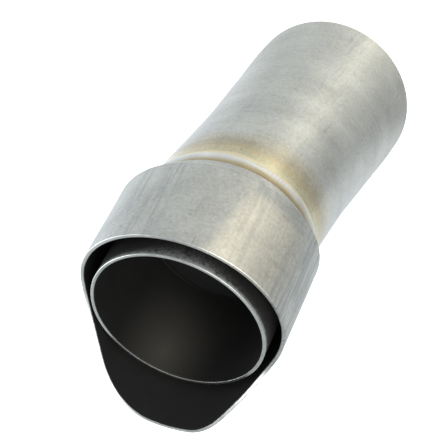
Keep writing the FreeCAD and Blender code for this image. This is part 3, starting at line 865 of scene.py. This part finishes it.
def shade_with_glow(tree, vector, shading, strength):
    """The bore's painted shade, with a painted highlight that fades out round its middle."""
    from_middle = vector_maths(tree, "SUBTRACT", vector, GLOW_PLACE)
    away = vector_maths(tree, "LENGTH", vector_maths(tree, "MULTIPLY", from_middle, GLOW_SHAPE))
    glowing = maths(tree, "POWER", spread(tree, away, 0.0, GLOW_REACH, 1.0, 0.0), 1.6)
    return blend_colours(tree, maths(tree, "MULTIPLY", glowing, strength), shading, GLOW_COLOUR)


def sheet_material(name, base, roughness, lean, ring, brush, marks, patch=0.0, glow=0.0):
    """Bare satin sheet: brushing, grain, streaks, marks and the weld's heat tint, painted shade
    inside.

    The lean turns the coordinates along the piece, the ring is where the heat tint starts, and
    brush gives the brushing's scales. marks, patch and glow are the strengths of the scratches,
    the lighter patch, partly a burnish mark and partly painted highlight, and the painted
    highlight in the bore's painted shade.
    """
    f = finish()
    material, tree, shader = new_material(name)
    vector = own_coordinates(tree, lean)
    brushing = use_group(tree, "brushing", {"Vector": vector, "Round": brush[0], "Along": brush[1]})
    grain = use_group(tree, "sheet_grain", {"Vector": vector, "Cloud size": 70.0, "Specks": 0.35})
    tint = use_group(tree, "heat_tint", {
        "Distance": weld_distance(tree, *ring), "Reach": f.tint_reach, "Vector": vector,
    })

    def scratches(scales, level, amount):
        """Marks of a noise stretched by its scales."""
        scaled = vector_maths(tree, "MULTIPLY", vector, scales)
        inputs = {"Vector": scaled, "Level": level, "Amount": amount}
        return use_group(tree, "scratches", inputs)["Mark"]

    fine_marks = scratches(FINE_MARKS, 0.66, marks)
    streaks = scratches(LONG_STREAKS, 0.50, marks)
    round_marks = scratches(ROUND_MARKS, 0.66, marks * 0.5)
    tone = varied(tree, 1.0, brushing["Fine"], 0.20)
    tone = varied(tree, tone, brushing["Broad"], 0.22)
    tone = varied(tree, tone, grain["Cloud"], 0.55)
    tone = varied(tree, tone, grain["Grain"], 0.50)
    dark = maths(tree, "ADD", grain["Speck"], maths(tree, "ADD", fine_marks, round_marks))
    tone = maths(tree, "MULTIPLY", tone, maths(tree, "SUBTRACT", 1.0, dark))
    sheet = blend_colours(tree, 1.0, rgba(base), grey(tree, tone), "MULTIPLY")
    sheet = blend_colours(tree, streaks, sheet, STREAK_GREY)
    # The patch is lighter partly from a burnish mark and partly from painted highlight
    if patch:
        burnished_and_lit = use_group(tree, "burnished_and_lit_patch", {"Vector": vector})
        lighter = blend_colours(tree, 1.0, sheet, rgba(f.patch_tint), "MULTIPLY")
        strength = maths(tree, "MULTIPLY", burnished_and_lit["Mask"], patch)
        sheet = blend_colours(tree, strength, sheet, lighter)
    warm = blend_colours(tree, 1.0, sheet, tint["Color"], "MULTIPLY")
    # The bore is painted shade: near-black, mottled by the clouds with a paler painted shade
    shade_mottle = spread(tree, grain["Cloud"], 0.25, 0.75)
    bore = blend_colours(tree, shade_mottle, rgba(f.bore_shade_colour), rgba(f.bore_pale_shade))
    # A painted highlight on the pipe's far inner wall, in the bore's painted shade
    if glow:
        bore = shade_with_glow(tree, vector, bore, glow)

    # Across a cut edge the grain breaks up the line between bare metal and the bore's painted shade
    inside = add(tree, "ShaderNodeAttribute", attribute_name="inside").outputs["Fac"]
    part_way = maths(tree, "MULTIPLY", inside, maths(tree, "SUBTRACT", 1.0, inside))
    inside = varied(tree, inside, grain["Grain"], maths(tree, "MULTIPLY", part_way, 5.0))
    inside = spread(tree, inside, 0.0, 1.0)

    satin = varied(tree, roughness, brushing["Fine"], 0.25)
    satin = maths(tree, "MULTIPLY_ADD", tint["Mask"], -0.12, satin)
    height = maths(tree, "MULTIPLY_ADD", brushing["Fine"], 0.6, grain["Grain"])
    height = maths(tree, "SUBTRACT", height, dark)
    bump = add(tree, "ShaderNodeBump", {"Height": height, "Strength": 0.10, "Distance": BUMP_DEPTH})
    feed(tree, shader, {
        "Base Color": blend_colours(tree, inside, warm, bore),
        "Metallic": spread(tree, inside, 0.0, 1.0, 1.0, 0.15),
        "Roughness": maths(tree, "MULTIPLY_ADD", inside, 0.35, satin),
        "Normal": bump.outputs[0],
    })
    return material


def weld_material():
    """Bright weld metal: dark crevice and ochre band beside the neck, white crest, straw toe."""
    f = finish()
    material, tree, shader = new_material("bright_weld")
    vector = own_coordinates(tree, sizes().kink / 2.0)
    grain = use_group(tree, "sheet_grain", {"Vector": vector, "Cloud size": 140.0, "Specks": 0.2})
    sheet_map = add(tree, "ShaderNodeUVMap", uv_map="sheet")
    row = add(tree, "ShaderNodeSeparateXYZ", {0: sheet_map.outputs["UV"]}).outputs["Y"]
    across = varied(tree, row, noise(tree, vector, 160.0, 3.0), 0.10)
    metal = colour_ramp(tree, across, (
        (0.000, (0.05, 0.035, 0.02)),
        (0.060, (0.15, 0.10, 0.045)),
        (0.110, (0.44, 0.345, 0.19)),
        (0.210, (0.62, 0.55, 0.38)),
        (0.270, (0.78, 0.76, 0.68)),
        (0.360, f.weld_colour),
        (0.450, f.weld_colour),
        (0.520, (0.92, 0.89, 0.72)),
        (0.700, (0.92, 0.85, 0.62)),
        (1.000, f.straw_colour),
    ))
    tone = varied(tree, 1.0, grain["Cloud"], 0.4)
    bump = add(tree, "ShaderNodeBump", {
        "Height": grain["Grain"], "Strength": 0.05, "Distance": BUMP_DEPTH,
    })
    feed(tree, shader, {
        "Base Color": blend_colours(tree, 1.0, metal, grey(tree, tone), "MULTIPLY"),
        "Metallic": 1.0,
        "Roughness": spread(tree, grain["Cloud"], 0.3, 0.7, 0.34, 0.46),
        "Normal": bump.outputs[0],
    })
    return material


def floor_material():
    """Plain pale floor, almost evenly white to look at.

    The metal sees it as a studio sweep instead: its colours are laid round the floor by bearing,
    brightest on the light's bearing and opposite, and a dark card stands further out to one side.
    """
    f = finish()
    material, tree, shader = new_material("pale_floor")
    place = add(tree, "ShaderNodeTexCoord").outputs["Object"]
    level = vector_maths(tree, "MULTIPLY", place, (1.0, 1.0, 0.0))
    bearing = vector_maths(tree, "NORMALIZE", level)
    line = (math.cos(f.light_bearing), math.sin(f.light_bearing), 0.0)
    facing = vector_maths(tree, "DOT_PRODUCT", bearing, line)
    aside = vector_maths(tree, "DOT_PRODUCT", bearing, (-line[1], line[0], 0.0))
    round_floor = spread(tree, maths(tree, "ARCTAN2", aside, facing), -math.pi, math.pi)
    sweep = colour_ramp(tree, round_floor, (
        (0.000, (0.70, 0.77, 0.85)),
        (0.150, (0.62, 0.65, 0.68)),
        (0.270, (0.54, 0.555, 0.56)),
        (0.335, (0.36, 0.365, 0.36)),
        (0.400, (0.41, 0.41, 0.395)),
        (0.460, (0.63, 0.615, 0.565)),
        (0.500, (0.87, 0.835, 0.75)),
        (0.535, (0.70, 0.685, 0.635)),
        (0.600, (0.53, 0.533, 0.52)),
        (0.700, (0.51, 0.525, 0.525)),
        (0.800, (0.63, 0.655, 0.68)),
        (0.920, (0.84, 0.90, 0.97)),
        (1.000, (0.90, 0.97, 1.00)),
    ))
    far_out = spread(tree, vector_maths(tree, "LENGTH", level), 0.08, 0.22)
    to_side = spread(tree, aside, 0.1, -0.9)
    card = spread(tree, maths(tree, "MULTIPLY", far_out, to_side), 0.0, 1.0, 1.0, f.card_shade)
    glow = add(tree, "ShaderNodeEmission", {
        "Color": blend_colours(tree, 1.0, sweep, grey(tree, card), "MULTIPLY"),
        "Strength": f.floor_light,
    })
    tone = spread(tree, noise(tree, level, 5.0, 2.0), 0.3, 0.7, 0.94, 0.96)
    feed(tree, shader, {
        "Base Color": grey(tree, tone),
        "Roughness": 0.9,
        "Emission Color": (1.0, 1.0, 1.0, 1.0),
        "Emission Strength": 0.75,
    })
    by_camera = add(tree, "ShaderNodeLightPath").outputs["Is Camera Ray"]
    looks = {0: by_camera, 1: glow.outputs[0], 2: shader.outputs[0]}
    seen = add(tree, "ShaderNodeMixShader", looks)
    tree.links.new(seen.outputs[0], tree.nodes["Material Output"].inputs[0])
    return material


# Operators

class PieceOperator:
    """What the operators for pieces share."""

    bl_options = {"REGISTER", "UNDO"}

    def dress(self, node, points, inside, slot, material):
        """Build the piece that stands for a node, and raise an error if it can't be."""
        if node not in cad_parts:
            raise RuntimeError("the frame has no node %s" % node)
        if not np.isfinite(points).all():
            raise RuntimeError("%s has points that aren't numbers" % node)
        piece = closed_skin(node + "_sheet", points, inside)
        place_piece(piece, node, material)
        return {"FINISHED"}


class BAFFLE_OT_groups(bpy.types.Operator):
    """Build the shared surface effects"""

    bl_idname = "baffle.groups"
    bl_label = "Surface effects"

    def execute(self, context):
        build_brushing()
        build_grain()
        build_scratches()
        build_patch()
        build_heat_tint()
        return {"FINISHED"}


class BAFFLE_OT_main_tube(PieceOperator, bpy.types.Operator):
    """Build the long tube with its expanded end"""

    bl_idname = "baffle.main_tube"
    bl_label = "Main tube"

    def execute(self, context):
        f, s = finish(), sizes()
        material = sheet_material(
            "brushed_tube", f.tube_colour, f.tube_roughness, lean=0.0,
            ring=(s.bead_toe, s.toe_side, s.toe_far), brush=TUBE_BRUSH, marks=0.20,
        )
        return self.dress("main_tube", *tube_points(), "brushed_tube", material)


class BAFFLE_OT_inner_pipe(PieceOperator, bpy.types.Operator):
    """Build the pipe inside the sleeve"""

    bl_idname = "baffle.inner_pipe"
    bl_label = "Inner pipe"

    def execute(self, context):
        f = finish()
        material = sheet_material(
            "pipe_sheet", f.tube_colour, f.tube_roughness, lean=sizes().kink,
            ring=NO_TINT, brush=TUBE_BRUSH, marks=0.15, glow=0.8,
        )
        return self.dress("inner_pipe", *pipe_points(), "brushed_tube", material)


class BAFFLE_OT_tip_sleeve(PieceOperator, bpy.types.Operator):
    """Build the swaged sleeve with its long lip"""

    bl_idname = "baffle.tip_sleeve"
    bl_label = "Tip sleeve"

    def execute(self, context):
        f = finish()
        material = sheet_material(
            "satin_sleeve", f.sleeve_colour, f.sleeve_roughness, lean=sizes().kink,
            ring=NO_TINT, brush=SLEEVE_BRUSH, marks=0.42, patch=1.0,
        )
        return self.dress("tip_sleeve", *sleeve_points(), "satin_sleeve", material)


class BAFFLE_OT_weld_bead(PieceOperator, bpy.types.Operator):
    """Build the weld bead round the mitre"""

    bl_idname = "baffle.weld_bead"
    bl_label = "Weld bead"

    def execute(self, context):
        return self.dress("weld_bead", *bead_points(), "weld_metal", weld_material())


def area_light(name, place, width, power, tint):
    """A square soft box that faces the middle of the stage."""
    data = bpy.data.lights.new(name, "AREA")
    data.size = width
    data.energy = power
    data.color = tint
    lamp = bpy.data.objects.new(name, data)
    lamp.location = place
    to_middle = Vector(STAGE_CENTRE) - lamp.location
    lamp.rotation_euler = to_middle.to_track_quat("-Z", "Y").to_euler()
    bpy.context.scene.collection.objects.link(lamp)


class BAFFLE_OT_stage(bpy.types.Operator):
    """Lay the floor, set the lights and place the camera"""

    bl_idname = "baffle.stage"
    bl_label = "Stage"

    def execute(self, context):
        scene = context.scene
        mesh = bpy.data.meshes.new("floor")
        mesh.from_pydata(FLOOR, [], [(0, 1, 2, 3)])
        mesh.update()
        floor = bpy.data.objects.new("floor", mesh)
        scene.collection.objects.link(floor)
        floor.data.materials.append(floor_material())
        area_light("key_box", (-0.5, -0.2, 0.9), width=0.7, power=7.0, tint=(1.0, 0.985, 0.96))
        area_light("fill_box", (0.7, 0.3, 0.5), width=0.6, power=4.0, tint=(0.94, 0.97, 1.0))
        world = bpy.data.worlds.new("studio")
        world.use_nodes = True
        background = world.node_tree.nodes["Background"]
        background.inputs["Color"].default_value = (0.92, 0.96, 1.0, 1.0)
        background.inputs["Strength"].default_value = 0.6
        scene.world = world
        data = bpy.data.cameras.new("camera")
        data.sensor_width = CAMERA_SENSOR
        data.lens = CAMERA_LENS
        data.clip_end = 20.0
        data.shift_x, data.shift_y = -HALF_PIXEL, HALF_PIXEL
        camera = bpy.data.objects.new("camera", data)
        rows = zip(CAMERA_RIGHT, CAMERA_UP, CAMERA_BACK, CAMERA_PLACE)
        camera.matrix_world = Matrix([*rows, (0.0, 0.0, 0.0, 1.0)])
        scene.collection.objects.link(camera)
        scene.camera = camera
        scene.view_settings.view_transform = "Standard"
        return {"FINISHED"}


OPERATORS = (
    BAFFLE_OT_groups,
    BAFFLE_OT_main_tube,
    BAFFLE_OT_inner_pipe,
    BAFFLE_OT_tip_sleeve,
    BAFFLE_OT_weld_bead,
    BAFFLE_OT_stage,
)


class BAFFLE_PT_panel(bpy.types.Panel):
    """Lists the steps that build the insert"""

    bl_label = "Baffle insert"
    bl_idname = "BAFFLE_PT_panel"
    bl_space_type = "VIEW_3D"
    bl_region_type = "UI"
    bl_category = "Baffle insert"

    def draw(self, context):
        for operator in OPERATORS:
            self.layout.operator(operator.bl_idname)


CLASSES = (BaffleSizes, BaffleFinish, *OPERATORS, BAFFLE_PT_panel)


def register():
    for item in CLASSES:
        bpy.utils.register_class(item)
    bpy.types.Scene.baffle_sizes = PointerProperty(type=BaffleSizes)
    bpy.types.Scene.baffle_finish = PointerProperty(type=BaffleFinish)


def unregister():
    del bpy.types.Scene.baffle_finish
    del bpy.types.Scene.baffle_sizes
    for item in reversed(CLASSES):
        bpy.utils.unregister_class(item)


def main():
    """Register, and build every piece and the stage."""
    register()
    bpy.ops.baffle.groups()
    bpy.ops.baffle.main_tube()
    bpy.ops.baffle.inner_pipe()
    bpy.ops.baffle.tip_sleeve()
    bpy.ops.baffle.weld_bead()
    bpy.ops.baffle.stage()
    bpy.context.view_layer.update()


if __name__ == "__main__":
    main()
